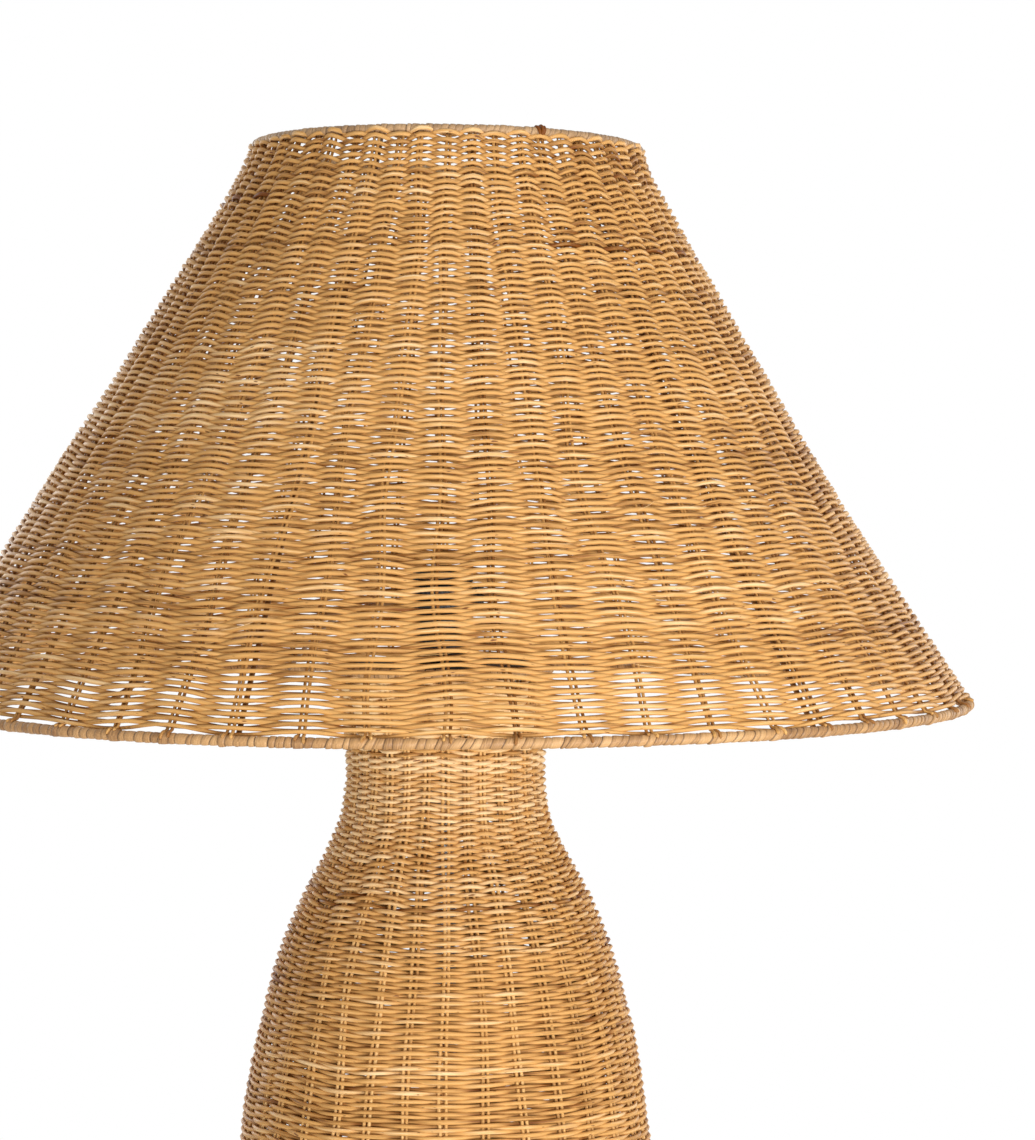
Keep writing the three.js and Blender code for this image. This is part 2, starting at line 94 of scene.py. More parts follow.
# The rows of weaver: how unevenly they lie, and how the topmost ones reach further out
RIPPLE_WAVES = (0.08, 0.4)
RIPPLE_TERMS = 14
ROW_PITCHES = (0.92, 1.08)
LAST_ROW_ROOM, LAST_ROW_DROP = 0.5, 0.2
REACH_CHANGE = 0.08
TOP_REACH, TOP_DEPTH = 0.45, 3 * MM
ROW_SLIP = 0.24 * MM
ROW_ROOM = 0.6
ROW_WIDTH_CHANGE = 0.07
SWELL, SWELLS_ROUND = 0.04, (3, 9)

# The tones of the lengths of cane in a row, and the painted shade where a weaver passes behind a stake
ROW_JOINS = (2, 6)
TONE, TONE_CHANGE, TONE_RANGE = 0.5, 0.15, (0.1, 0.9)
DARK_SHARE, DARK_TONE = 0.012, -0.1
BEHIND_STAKE_PAINTED_SHADE = 0.15

# Loose fibres, in mm
FIBRE_LENGTHS = (8, 26)
FIBRE_START = 2.9 * MM
FIBRE_SPRINGS = (1, 5)
FIBRE_RISES = (-5, 5)
FIBRE_TONES = (0.5, 1)
FIBRE_WIDTHS = np.array([0.01, 1, 1, 0.9, 0.7, 0.01])

# Meshes
MERGE_STRAND = 0.02 * MM
MERGE_RING = 0.002 * MM
STRAND_SHIFT = 1.37
AROUND = 64
RING_AROUND = 96
SHADE_WEAVER_PIECES, STAND_WEAVER_PIECES = 3, 5

# The edges of turned pieces that stay sharp, in degrees
TURNED_EDGE, THREAD_EDGE, NUT_EDGE = 30, 50, 35


def middle_height(node):
    low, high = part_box(node)
    return (low.z + high.z) / 2


def reach(node):
    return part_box(node)[1].x


# The shade. Its drift and the stand's give mm by the share of the wall's length
RIM_Z = middle_height("shade_rim_ring")
TOP_Z = middle_height("shade_top_ring")
SHADE_RIM_R = 336.5 * MM
SHADE_TOP_R = 122.7 * MM
SHADE_DIP = 3.4 * MM
SHADE_FLARE = 4 * MM
FLARE_DEPTH = 30 * MM
TOP_TILT = 2.1 * MM
TILT_TURN = -0.75 * math.pi
RIM_LIFT = 3.5 * MM
SHADE_STAKES = 54
SHADE_STATIONS = 360
SHADE_RIM_WRAPS = 390
SHADE_TOP_WRAPS = 170
SHADE_BINDING = 6.2 * MM
TOP_BINDING = 5.8 * MM
SHADE_DRIFT = [(0, 0), (0.25, -2), (0.45, -2.2), (0.65, 0.2), (0.85, 1.6), (1, 3.4)]
# The lampshade's stakes are drawn darker than the stand's: painted shade for how they look lit from behind
SHADE_STAKE_TONES = (-0.4, 0.4)
SHADE_STAKE_ANGLE = 100
SHADE_FIBRES = 70

# The stand
FOOT_Z = middle_height("foot_ring")
LIP_Z = middle_height("lip_ring")
CAP_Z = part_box("cap_disc")[1].z
FOOT_R = 116 * MM
BELLY_R = 139 * MM
NECK_R = 64.5 * MM
LIP_R = 73 * MM
BELLY_Z = 780 * MM
NECK_Z = 1096 * MM
STAND_WALL = 7 * MM
STAND_BINDING = 7 * MM
STAND_STAKES = 32
LIP_WRAPS = 76
FOOT_WRAPS = 126
SMOOTHING = 12
STAND_DRIFT = [(0.05, 0), (0.4, 1.8), (0.945, 1.8), (1, 0)]
STAND_STAKE_TONES = (0.1, 0.8)
STAND_STAKE_ANGLE = 70
STAND_FIBRES = 40

# The shoulder from the neck down: shares of its height and of its growth in radius
SHOULDER = [
    (0.09, 0.05), (0.15, 0.17), (0.21, 0.31), (0.27, 0.44), (0.33, 0.55),
    (0.41, 0.66), (0.53, 0.78), (0.66, 0.88), (0.82, 0.965),
]

# The cord's bush, low on the back
BUSH_Z = middle_height("cord_bush")
BUSH_R = 6 * MM
BUSH_PARTS = 15 * MM
BUSH_MIDDLE = 1e-6


def deselect():
    bpy.ops.object.select_all(action="DESELECT")


def make_active(thing):
    deselect()
    thing.select_set(True)
    bpy.context.view_layer.objects.active = thing


def round_lamp(radius, height, turn, aside=0.0):
    """Points by their radius, height and direction round the lamp, all moved aside to the right."""
    return np.stack([radius * np.cos(turn) + aside, radius * np.sin(turn), height + 0 * turn], axis=-1)


# Camera, at the photograph's angle
bpy.ops.object.camera_add(location=(0, -CAMERA_DISTANCE, CAMERA_HEIGHT))
camera = bpy.context.object
camera.name = "photo_camera"
camera.data.sensor_width = FILM
camera.data.lens = FOCAL_PIXELS / PHOTO_HIGH * FILM
pan = math.atan((PHOTO_WIDE / 2 - AXIS_PIXEL) / FOCAL_PIXELS)
dip = math.atan((PHOTO_HIGH / 2 - HORIZON_PIXEL) / FOCAL_PIXELS)
camera.rotation_euler = (math.pi / 2 - dip, 0, -pan)
scene.camera = camera


# The woven walls
class Wall:
    """The middle of a woven wall: radius, height and outward direction by the distance up along it.

    drift lists how far it strays to the right, in mm, by the share of its length from the bottom.
    The top stands higher by tilt at the front on the left, and the bottom is lifted on the left by lift.
    """

    def __init__(self, radii, heights, drift, tilt=0.0, lift=0.0):
        self.radii, self.heights, self.tilt, self.lift = np.array(radii), np.array(heights), tilt, lift
        self.drift_shares, self.drifts = np.array(drift).T
        lengths = np.hypot(np.diff(self.radii), np.diff(self.heights))
        self.up = np.concatenate([[0], np.cumsum(lengths)])
        rise = np.gradient(self.heights, self.up)
        grow = np.gradient(self.radii, self.up)
        size = np.hypot(rise, grow)
        self.out_r, self.out_z = rise / size, -grow / size
        self.length = self.up[-1]

    def radius(self, up):
        return np.interp(up, self.up, self.radii)

    def drift(self, up):
        return np.interp(up / self.length, self.drift_shares, self.drifts) * MM

    def sag(self, up, turn):
        """How much higher a place is than on an even wall."""
        share = np.clip(up / self.length, 0, 1)
        tilted = self.tilt * share**3 * np.cos(turn - TILT_TURN)
        return tilted + self.lift * (1 - share) ** 2 * np.maximum(np.cos(turn - LEFT), 0) ** 3

    def place(self, turn, up, out):
        radius = self.radius(up) + out * np.interp(up, self.up, self.out_r)
        height = np.interp(up, self.up, self.heights) + out * np.interp(up, self.up, self.out_z)
        return round_lamp(radius, height + self.sag(up, turn), turn, self.drift(up))

    def up_at(self, height):
        return float(np.interp(height, self.heights, self.up))


def shade_wall():
    heights = np.linspace(RIM_Z, TOP_Z, SHADE_STATIONS)
    down = (TOP_Z - heights) / (TOP_Z - RIM_Z)
    cone_top = SHADE_TOP_R - SHADE_FLARE
    flare = np.clip(1 - (TOP_Z - heights) / FLARE_DEPTH, 0, 1) ** 2
    cone = cone_top + (SHADE_RIM_R - cone_top) * down
    radii = cone - 4 * SHADE_DIP * down * (1 - down) + SHADE_FLARE * flare
    return Wall(radii, heights, SHADE_DRIFT, TOP_TILT, RIM_LIFT)


def stand_outline(heights):
    """The stand's outer radius by height: a swelling body, the shoulder and the neck."""
    body = FOOT_R + (BELLY_R - FOOT_R) * np.sin(np.clip(heights / BELLY_Z, 0, 1) * math.pi / 2)
    down, grown = np.array([(0, 0), *SHOULDER, (1, 1)]).T
    below_neck = (NECK_Z - heights) / (NECK_Z - BELLY_Z)
    shoulder = NECK_R + (BELLY_R - NECK_R) * np.interp(below_neck, down, grown)
    over_neck = np.clip((heights - NECK_Z) / (CAP_Z - NECK_Z), 0, 1)
    neck = NECK_R + (LIP_R - NECK_R) * over_neck**2
    return np.where(heights < BELLY_Z, body, np.where(heights < NECK_Z, shoulder, neck))


def stand_wall():
    heights = np.arange(FOOT_Z, LIP_Z, MM)
    radii = stand_outline(heights) - STAND_WALL / 2
    padded = np.pad(radii, SMOOTHING, mode="reflect", reflect_type="odd")
    window = np.hanning(2 * SMOOTHING + 3)[1:-1]
    return Wall(np.convolve(padded, window / window.sum(), mode="valid"), heights, STAND_DRIFT)


def waves(count, shortest, longest):
    """A smooth random curve of about -1 to 1 along a length in metres, one for each of count places."""
    terms = 4
    number = 2 * np.pi / draw.uniform(shortest, longest, (count, terms))
    start = draw.uniform(0, 2 * np.pi, (count, terms))
    return lambda up: np.sin(number * up + start).sum(axis=1) / terms**0.5


def ripples(terms, turns, shortest, longest):
    """A smooth random field of about -1 to 1 round the lamp and up its wall."""
    round_number = draw.integers(-turns, turns + 1, terms)
    up_number = 2 * np.pi / draw.uniform(shortest, longest, terms)
    start = draw.uniform(0, 2 * np.pi, terms)

    def field(turn, up):
        angle = np.multiply.outer(turn, round_number) + np.multiply.outer(up, up_number) + start
        return np.sin(angle).sum(axis=-1) / terms**0.5

    return field


def strands(name, paths, thickness, tones, widths=None, closed=True, sides=CANE_SIDES):
    """Round canes or rods through points as one mesh, with a tone at each point and a map along each."""
    curve = bpy.data.curves.new(name, "CURVE")
    curve.dimensions = "3D"
    curve.bevel_depth = thickness / 2
    curve.bevel_resolution = (sides - 4) // 2
    for i, path in enumerate(paths):
        strand = curve.splines.new("POLY")
        strand.points.add(len(path) - 1)
        places = np.ones((len(path), 4), np.float32)
        places[:, :3] = path
        strand.points.foreach_set("co", places.ravel())
        if widths is not None:
            strand.points.foreach_set("radius", np.asarray(widths[i], np.float32))
        strand.use_cyclic_u = closed
    thing = bpy.data.objects.new(name, curve)
    scene.collection.objects.link(thing)
    make_active(thing)
    bpy.ops.object.convert(target="MESH")
    thing = bpy.context.object
    mesh = thing.data
    mesh.name = name
    tone = mesh.attributes.new("tone", "FLOAT", "POINT")
    tone.data.foreach_set("value", np.repeat(np.concatenate(tones), sides).astype(np.float32))
    corners = np.zeros(len(mesh.loops), np.int32)
    mesh.loops.foreach_get("vertex_index", corners)
    ends = np.cumsum([len(path) * sides for path in paths])
    row = np.searchsorted(ends, corners, side="right")
    lengths = np.array([np.linalg.norm(np.diff(path, axis=0), axis=1).sum() for path in paths])
    share = np.zeros(2 * len(corners), np.float32)
    mesh.uv_layers[0].data.foreach_get("uv", share)
    share = share.reshape(-1, 2)
    along = np.stack([share[:, 0] * lengths[row] + row * STRAND_SHIFT, share[:, 1]], axis=1)
    bake = mesh.uv_layers.new(name="OFBake")
    atlas = np.stack([share[:, 0], (row + share[:, 1]) / len(paths)], axis=1)
    bake.data.foreach_set("uv", atlas.astype(np.float32).ravel())
    mesh.uv_layers[0].data.foreach_set("uv", along.astype(np.float32).ravel())
    mesh.uv_layers[0].name = "strand"
    mesh.uv_layers["strand"].active_render = True
    mesh.shade_smooth()
    if not closed:
        bpy.ops.object.mode_set(mode="EDIT")
        bpy.ops.mesh.select_all(action="SELECT")
        bpy.ops.mesh.remove_doubles(threshold=MERGE_STRAND)
        bpy.ops.object.mode_set(mode="OBJECT")
    return thing


def part_round_bush(turn, up, radius, bush_up):
    """Canes near the cord's bush part round it."""
    across, above = (turn - BACK) * radius, up - bush_up
    far = np.hypot(across, above) + BUSH_MIDDLE
    clear = BUSH_R + STAND_WEAVER / 2
    pushed = clear + far * (BUSH_PARTS - clear) / BUSH_PARTS
    scale = np.where(far < BUSH_PARTS, pushed / far, 1)
    return BACK + across * scale / radius, bush_up + above * scale


class Weave:
    """The stakes of one woven wall, and the rows of weaver that go over and under them."""

    def __init__(
        self, wall, stakes, low, high, pitch, weaver, stake, reach, wander, ripple, turns, arch, pale,
        bush_up=None,
    ):
        self.wall, self.stakes, self.low, self.high, self.pitch = wall, stakes, low, high, pitch
        self.arch, self.pale = arch, pale
        self.drift = waves(stakes, *WANDER_WAVES)
        self.part = waves(stakes, *GAP_WAVES)
        self.push = waves(stakes, *PUSH_WAVES)
        self.field = ripples(RIPPLE_TERMS, turns, *RIPPLE_WAVES)
        self.wander = wander * 2 * np.pi / stakes
        self.weaver, self.stake, self.reach = weaver, stake, reach
        self.ripple = ripple
        self.bush_up = bush_up

    def stake_turns(self, up):
        return FRONT + 2 * np.pi * np.arange(self.stakes) / self.stakes + self.wander * self.drift(up)

    def levels(self):
        found = []
        up = self.low
        while up < self.high:
            found.append(up)
            up += self.pitch(up / self.wall.length) * draw.uniform(*ROW_PITCHES)
        if self.high - found[-1] > LAST_ROW_ROOM * self.weaver:
            found.append(self.high - LAST_ROW_DROP * self.weaver)
        return found

    def place(self, turn, up, out):
        if self.bush_up is not None:
            turn, up = part_round_bush(turn, up, self.wall.radius(up), self.bush_up)
        return self.wall.place(turn, up, out)

    def rows(self):
        count = self.stakes
        step = np.arange(STEPS * count)
        here, after = step // STEPS, (step // STEPS + 1) % count
        share = (1 + np.cos(np.pi * (step % STEPS) / STEPS)) / 2
        straight = (step % STEPS) / STEPS

        def between(values):
            return values[here] * share + values[after] * (1 - share)

        paths, tones, widths = [], [], []
        for number, level in enumerate(self.levels()):
            turns = self.stake_turns(level)
            last = np.append(turns, turns[0] + 2 * np.pi)
            turn = last[here] * (1 - straight) + last[here + 1] * straight
            way = np.where((np.arange(count) + number) % 2 == 0, 1.0, -1.0)
            reach = self.reach * (1 + TOP_REACH * math.exp((level - self.high) / TOP_DEPTH))
            out = between(way * reach * draw.normal(1, REACH_CHANGE, count) + PUSH * self.push(level))
            slip = between(draw.normal(0, ROW_SLIP, count) + way * self.arch(level / self.wall.length))
            up = level + slip + self.ripple * self.field(turn, level)
            room = ROW_ROOM * self.weaver
            up = np.clip(up, self.low - room, self.high + room)
            paths.append(self.place(turn, up, out))
            # Painted shade: a weaver is drawn darker where it passes behind a stake
            behind = BEHIND_STAKE_PAINTED_SHADE * (1 - between(way))
            tones.append(self.row_tones(way) + self.pale(level / self.wall.length) - behind)
            width = np.full(len(step), draw.normal(1, ROW_WIDTH_CHANGE))
            widths.append(width + SWELL * np.sin(turn * draw.integers(*SWELLS_ROUND)))
        return paths, tones, widths

    def row_tones(self, way):
        """The weaver of a row is a few lengths of cane, each of its own tone, which meet behind a stake."""
        hidden = np.flatnonzero(way < 0)
        joins = np.sort(draw.choice(hidden, draw.integers(*ROW_JOINS), replace=False))
        length = np.searchsorted(joins, np.arange(self.stakes), side="right") % len(joins)
        tone = np.clip(draw.normal(TONE, TONE_CHANGE, len(joins)), *TONE_RANGE)
        tone[draw.uniform(0, 1, len(joins)) < DARK_SHARE] = DARK_TONE
        return np.repeat(tone[length], STEPS)


def weave_pieces(name, weave, pieces):
    paths, tones, widths = weave.rows()
    made = []
    for i in range(pieces):
        first, last = i * len(paths) // pieces, (i + 1) * len(paths) // pieces
        part = slice(first, last)
        made.append(strands(f"{name}_{i + 1}", paths[part], weave.weaver, tones[part], widths[part]))
    return made


def stake_pieces(name, weave, binding, start_angle, tones):
    """The doubled stakes of a wall. Each rod ends over the outside of the bound rim under the wall."""
    stations = int((weave.high - weave.low) / STAKE_STEP)
    ups = np.linspace(weave.low - STAKE_BELOW, weave.high + STAKE_ABOVE, stations)
    turns = np.array([weave.stake_turns(up) for up in ups])
    parted = np.array([weave.part(up) for up in ups])
    pushed = np.array([weave.push(up) for up in ups])
    over = binding / 2 + STAKE_OVER * weave.stake
    paths, widths = [], []
    for k in range(weave.stakes):
        for side in (-1, 1):
            gap = np.clip(STAKE_GAP + GAP_CHANGE * parted[:, k], *GAP_RANGE) * MM
            apart = side * (weave.stake / 2 + gap)
            stem = weave.place(turns[:, k] + apart / weave.wall.radius(ups), ups, PUSH * pushed[:, k])
            angles = np.radians(np.linspace(draw.uniform(*TIP_ANGLES), start_angle, TIP_POINTS))
            spread = np.linspace(draw.uniform(*TIP_SPREADS), 0, TIP_POINTS) * side * MM
            turn = turns[0, k] + (apart[0] + spread) / weave.wall.radii[0]
            height = weave.wall.heights[0] + over * np.sin(angles) + weave.wall.sag(0, turn)
            end = round_lamp(weave.wall.radii[0] + over * np.cos(angles), height, turn)
            path = np.concatenate([end, stem])
            width = np.ones(len(path))
            width[[0, -1]] = SHUT_END
            paths.append(path)
            widths.append(width)
    tones = [np.full(len(path), tone) for path, tone in zip(paths, draw.uniform(*tones, len(paths)))]
    return strands(name, paths, weave.stake, tones, widths, closed=False)


def stray_fibres(name, weave, count):
    """Thin fibres that have sprung loose from the canes."""
    paths, widths = [], []
    for _ in range(count):
        turn, up = draw.uniform(0, 2 * np.pi), draw.uniform(weave.low, weave.high)
        length = draw.uniform(*FIBRE_LENGTHS) * MM
        along = np.linspace(0, 1, len(FIBRE_WIDTHS))
        way = draw.choice([-1, 1])
        out = FIBRE_START + draw.uniform(*FIBRE_SPRINGS) * MM * along**2
        turn = turn + way * length * along / weave.wall.radius(up)
        paths.append(weave.place(turn, up + draw.uniform(*FIBRE_RISES) * MM * along**2, out))
        widths.append(FIBRE_WIDTHS)
    tones = [np.full(len(FIBRE_WIDTHS), tone) for tone in draw.uniform(*FIBRE_TONES, count)]
    return strands(name, paths, FIBRE, tones, widths, closed=False, sides=FIBRE_SIDES)


# Rings about the lamp's axis
def turned_ring(name, radii, heights, turns=None, aside=0.0, **values):
    """A closed ring. Each row of the arrays is its section at one place, up outside and down inside."""
    around, section = radii.shape
    deselect()
    bpy.ops.mesh.primitive_grid_add(x_subdivisions=around, y_subdivisions=section, size=2, location=(0, 0, 0))
    ring = bpy.context.object
    ring.name = ring.data.name = name
    mesh = ring.data
    flat = np.zeros(3 * len(mesh.vertices), np.float32)
    mesh.vertices.foreach_get("co", flat)
    share = (flat.reshape(-1, 3)[:, :2] + 1) / 2
    i = np.rint(share[:, 0] * around).astype(int) % around
    j = np.rint(share[:, 1] * section).astype(int) % section
    if turns is None:
        turns = np.linspace(0, 2 * np.pi, around, endpoint=False)[:, None] + 0 * radii
    places = round_lamp(radii, heights, turns, aside)
    mesh.vertices.foreach_set("co", places[i, j].astype(np.float32).ravel())
    for key, value in values.items():
        attribute = mesh.attributes.new(key, "FLOAT", "POINT")
        attribute.data.foreach_set("value", value[i, j].astype(np.float32))
    mesh.uv_layers[0].name = "strand"
    bpy.ops.object.mode_set(mode="EDIT")
    bpy.ops.mesh.select_all(action="SELECT")
    bpy.ops.mesh.remove_doubles(threshold=MERGE_RING)
    bpy.ops.mesh.delete_loose()
    bpy.ops.object.mode_set(mode="OBJECT")
    return ring


def soften(ring, degrees):
    """Smooths a ring but for the edges that turn by more than some degrees."""
    make_active(ring)
    bpy.ops.object.shade_smooth_by_angle(angle=math.radians(degrees))
    return ring


def turned(name, outline):
    """A plain turned ring from one outline of radius and height in millimetres."""
    section = np.array(outline, float) * MM
    radii, heights = np.tile(section[:, 0], (AROUND, 1)), np.tile(section[:, 1], (AROUND, 1))
    return soften(turned_ring(name, radii, heights), TURNED_EDGE)


# One wrap of peel: where its points lie along it, how far they rise, and how unevenly it is wound
WRAP_SHARES = np.array([0, 0.1, 0.36, 0.64, 0.9])
WRAP_RISES = np.array([-0.6, 0.08, 0.12, 0.02, -0.16]) * MM
WRAP_SIDES = 14
WRAP_LOOSE = 0.09 * MM
WRAP_OVER_STAKE = 0.4 * MM
SEAM_SLIP = 0.17
SEAM_LEAN = 0.08
# How deep each seam is cut, which also sets how dark its painted shade is
SEAM_DEPTHS = (0.3, 1)


def bound_rim(name, wall, up, thickness, wraps, slant, raised=()):
    """Flat peel wound round a rim ring: each wrap swells a little, and the seams between them run aslant."""
    ring_radius, ring_height = wall.radius(up), np.interp(up, wall.up, wall.heights)
    count = len(WRAP_SHARES)
    wrap = np.repeat(np.arange(wraps), count)
    share = np.tile(WRAP_SHARES, wraps)
    seam_slip = draw.normal(0, SEAM_SLIP, wraps + 1)
    seam_slip[-1] = seam_slip[0]
    middle_turn = FRONT + 2 * np.pi * (np.arange(wraps + 1) + 0.5) / wraps
    seam_slant = slant(middle_turn) + draw.normal(0, SEAM_LEAN, wraps + 1)
    seam_slant[-1] = seam_slant[0]
    loose = draw.normal(0, WRAP_LOOSE, wraps)
    for turn in raised:
        nearest = int(round((turn - FRONT) / (2 * np.pi) * wraps - 0.5)) % wraps
        loose[nearest] += WRAP_OVER_STAKE
    angle = np.linspace(0, 2 * np.pi, WRAP_SIDES, endpoint=False)
    slip = seam_slip[wrap] * (1 - share) + seam_slip[wrap + 1] * share
    lean = seam_slant[wrap] * (1 - share) + seam_slant[wrap + 1] * share
    wound = (wrap + share + slip)[:, None] + lean[:, None] * np.sin(angle)[None, :]
    turns = FRONT + 2 * np.pi / wraps * wound
    parted = (share == 0) * draw.uniform(*SEAM_DEPTHS, wraps)[wrap]
    rise = np.where(share > 0, np.tile(WRAP_RISES, wraps) + loose[wrap], WRAP_RISES[0] * parted)
    section = (thickness / 2 + rise)[:, None]
    radii = ring_radius + section * np.cos(angle)
    heights = ring_height + section * np.sin(angle) + wall.sag(up, turns)
    tone = np.repeat(draw.uniform(0, 1, wraps)[wrap][:, None], WRAP_SIDES, axis=1)
    # Where each seam's painted shade goes
    seam = np.repeat(parted[:, None], WRAP_SIDES, axis=1)
    ring = turned_ring(name, radii, heights, turns, wall.drift(up), tone=tone, seam=seam)
    mesh = ring.data
    shares = np.zeros(2 * len(mesh.loops), np.float32)
    mesh.uv_layers["strand"].data.foreach_get("uv", shares)
    shares = shares.reshape(-1, 2)
    girth, length = math.pi * thickness, 2 * math.pi * ring_radius
    peel_map = np.stack([shares[:, 1] * girth, shares[:, 0] * length], axis=1)
    mesh.uv_layers.new(name="OFBake").data.foreach_set("uv", shares.ravel())
    mesh.uv_layers["strand"].data.foreach_set("uv", peel_map.astype(np.float32).ravel())
    mesh.uv_layers["strand"].active_render = True
    mesh.shade_smooth()
    return ring


# Materials
NOISE_LOW, NOISE_HIGH = 0.3, 0.7


def linear(red, green, blue):
    """A colour written as it is seen, from 0 to 255, in the renderer's terms."""

    def share(value):
        return ((value / 255 + 0.055) / 1.055) ** 2.4 if value > 10 else value / 255 / 12.92

    return share(red), share(green), share(blue)


class Finish:
    """A material and the few kinds of node that the lamp's finishes share."""

    def __init__(self, name, roughness, metallic=0.0):
        self.material = bpy.data.materials.new(name)
        self.material.use_nodes = True
        self.tree = self.material.node_tree
        self.shader = self.tree.nodes["Principled BSDF"]
        self.shader.inputs["Roughness"].default_value = roughness
        self.shader.inputs["Metallic"].default_value = metallic

    def link(self, start, end):
        self.tree.links.new(start, end)

    def places(self):
        return self.tree.nodes.new("ShaderNodeTexCoord").outputs["Object"]

    def strand_map(self):
        found = self.tree.nodes.new("ShaderNodeUVMap")
        found.uv_map = "strand"
        return found.outputs["UV"]

    def attribute(self, name):
        found = self.tree.nodes.new("ShaderNodeAttribute")
        found.attribute_name = name
        return found.outputs["Fac"]

    def stretched(self, vector, by):
        scale = self.tree.nodes.new("ShaderNodeVectorMath")
        scale.operation = "MULTIPLY"
        scale.inputs[1].default_value = by
        self.link(vector, scale.inputs[0])
        return scale.outputs[0]

    def noise(self, vector, scale, detail):
        cloud = self.tree.nodes.new("ShaderNodeTexNoise")
        cloud.inputs["Scale"].default_value = scale
        cloud.inputs["Detail"].default_value = detail
        self.link(vector, cloud.inputs["Vector"])
        return cloud.outputs["Fac"]

    def times(self, value, by, plus=None):
        node = self.tree.nodes.new("ShaderNodeMath")
        node.operation = "MULTIPLY_ADD"
        node.inputs[1].default_value = by
        node.inputs[2].default_value = 0
        self.link(value, node.inputs[0])
        if plus is not None:
            self.link(plus, node.inputs[2])
        return node.outputs[0]

    def ramp(self, value, stops):
        """Colours by value, from stops of position and colour."""
        node = self.tree.nodes.new("ShaderNodeValToRGB")
        first, last = node.color_ramp.elements
        first.position, first.color = stops[0][0], (*stops[0][1], 1)
        last.position, last.color = stops[-1][0], (*stops[-1][1], 1)
        for position, colour in stops[1:-1]:
            node.color_ramp.elements.new(position).color = (*colour, 1)
        self.link(value, node.inputs["Fac"])
        return node.outputs["Color"]

    def spread(self, value, low, high):
        """A noise value moved to the range from low to high."""
        node = self.tree.nodes.new("ShaderNodeMapRange")
        node.inputs["From Min"].default_value = NOISE_LOW
        node.inputs["From Max"].default_value = NOISE_HIGH
        node.inputs["To Min"].default_value = low
        node.inputs["To Max"].default_value = high
        self.link(value, node.inputs["Value"])
        return node.outputs["Result"]

    def blend(self, share, colour, other):
        node = self.tree.nodes.new("ShaderNodeMix")
        node.data_type = "RGBA"
        under, over = [s for s in node.inputs if s.type == "RGBA"]
        self.link(share, node.inputs["Factor"])
        self.link(colour, under)
        over.default_value = (*other, 1)
        return next(s for s in node.outputs if s.type == "RGBA")

    def bump(self, value, depth, strength):
        node = self.tree.nodes.new("ShaderNodeBump")
        node.inputs["Distance"].default_value = depth
        node.inputs["Strength"].default_value = strength
        self.link(value, node.inputs["Height"])
        self.link(node.outputs["Normal"], self.shader.inputs["Normal"])


# How often the marks of cane and peel repeat along and across a strand, and in space
CANE_STREAKS, CANE_FIBRES, CANE_FLECKS = (45, 5, 1), (31.5, 30, 1), (140, 4, 1)
PEEL_FIBRES = (60, 1800, 1)
PATCHES, STAINS = 7, 24

# How much each mark counts in the colour, and how deep, rough and shiny the surfaces are
TONE_WEIGHT, PATCH_WEIGHT, STREAK_WEIGHT, FIBRE_WEIGHT = 0.4, 0.32, 0.52, 0.34
WRAP_WEIGHT, PEEL_WEIGHT, STAIN_WEIGHT = 0.2, 0.65, 0.6
FIBRE_DEPTH, PEEL_DEPTH, COAT_DEPTH = 0.12 * MM, 0.1 * MM, 0.05 * MM
FIBRE_BUMP, COAT_BUMP = 0.5, 0.4
CANE_ROUGHNESS, PEEL_ROUGHNESS = (0.38, 0.58), (0.42, 0.62)
CANE_SHINE = 0.2
NO_FLECK, FLECK = (0, 0, 0), (1, 1, 1)
FLECK_COLOUR = linear(120, 72, 34)


def cane_finish(name, dark, middle, light):
    """Sanded cane: a tone for each length, streaks along it, patches of age and dark flecks."""
    cane = Finish(name, 0.48)
    cane.shader.inputs["Specular IOR Level"].default_value = CANE_SHINE
    canes = cane.strand_map()
    streaks = cane.noise(cane.stretched(canes, CANE_STREAKS), 1, 4)
    fibres = cane.noise(cane.stretched(canes, CANE_FIBRES), 1, 2)
    patches = cane.noise(cane.places(), PATCHES, 2)
    total = cane.times(cane.attribute("tone"), TONE_WEIGHT)
    total = cane.times(patches, PATCH_WEIGHT, total)
    total = cane.times(streaks, STREAK_WEIGHT, total)
    total = cane.times(fibres, FIBRE_WEIGHT, total)
    colour = cane.ramp(total, [(0.52, dark), (0.73, middle), (0.82, middle), (1, light)])
    flecks = cane.noise(cane.stretched(canes, CANE_FLECKS), 1, 1)
    flecks = cane.ramp(flecks, [(0.7, NO_FLECK), (0.76, FLECK)])
    colour = cane.blend(flecks, colour, FLECK_COLOUR)
    cane.link(colour, cane.shader.inputs["Base Color"])
    cane.link(cane.spread(streaks, *CANE_ROUGHNESS), cane.shader.inputs["Roughness"])
    cane.bump(fibres, FIBRE_DEPTH, FIBRE_BUMP)
    return cane.material


def peel_finish(name, dark, middle, light, seam):
    """Flat peel: tan with fine fibres along the strip, a tone for each wrap and painted shade in the seams.
    """
    peel = Finish(name, 0.5)
    strip = peel.strand_map()
    fibres = peel.noise(peel.stretched(strip, PEEL_FIBRES), 1, 3)
    stains = peel.noise(peel.places(), STAINS, 3)
    total = peel.times(peel.attribute("tone"), WRAP_WEIGHT)
    total = peel.times(fibres, PEEL_WEIGHT, total)
    total = peel.times(stains, STAIN_WEIGHT, total)
    colour = peel.ramp(total, [(0.5, dark), (0.74, middle), (1, light)])
    # Painted shade: the seams between wraps are painted dark
    colour = peel.blend(peel.attribute("seam"), colour, seam)
    peel.link(colour, peel.shader.inputs["Base Color"])
    peel.link(peel.spread(stains, *PEEL_ROUGHNESS), peel.shader.inputs["Roughness"])
    peel.bump(fibres, PEEL_DEPTH, FIBRE_BUMP)
    return peel.material


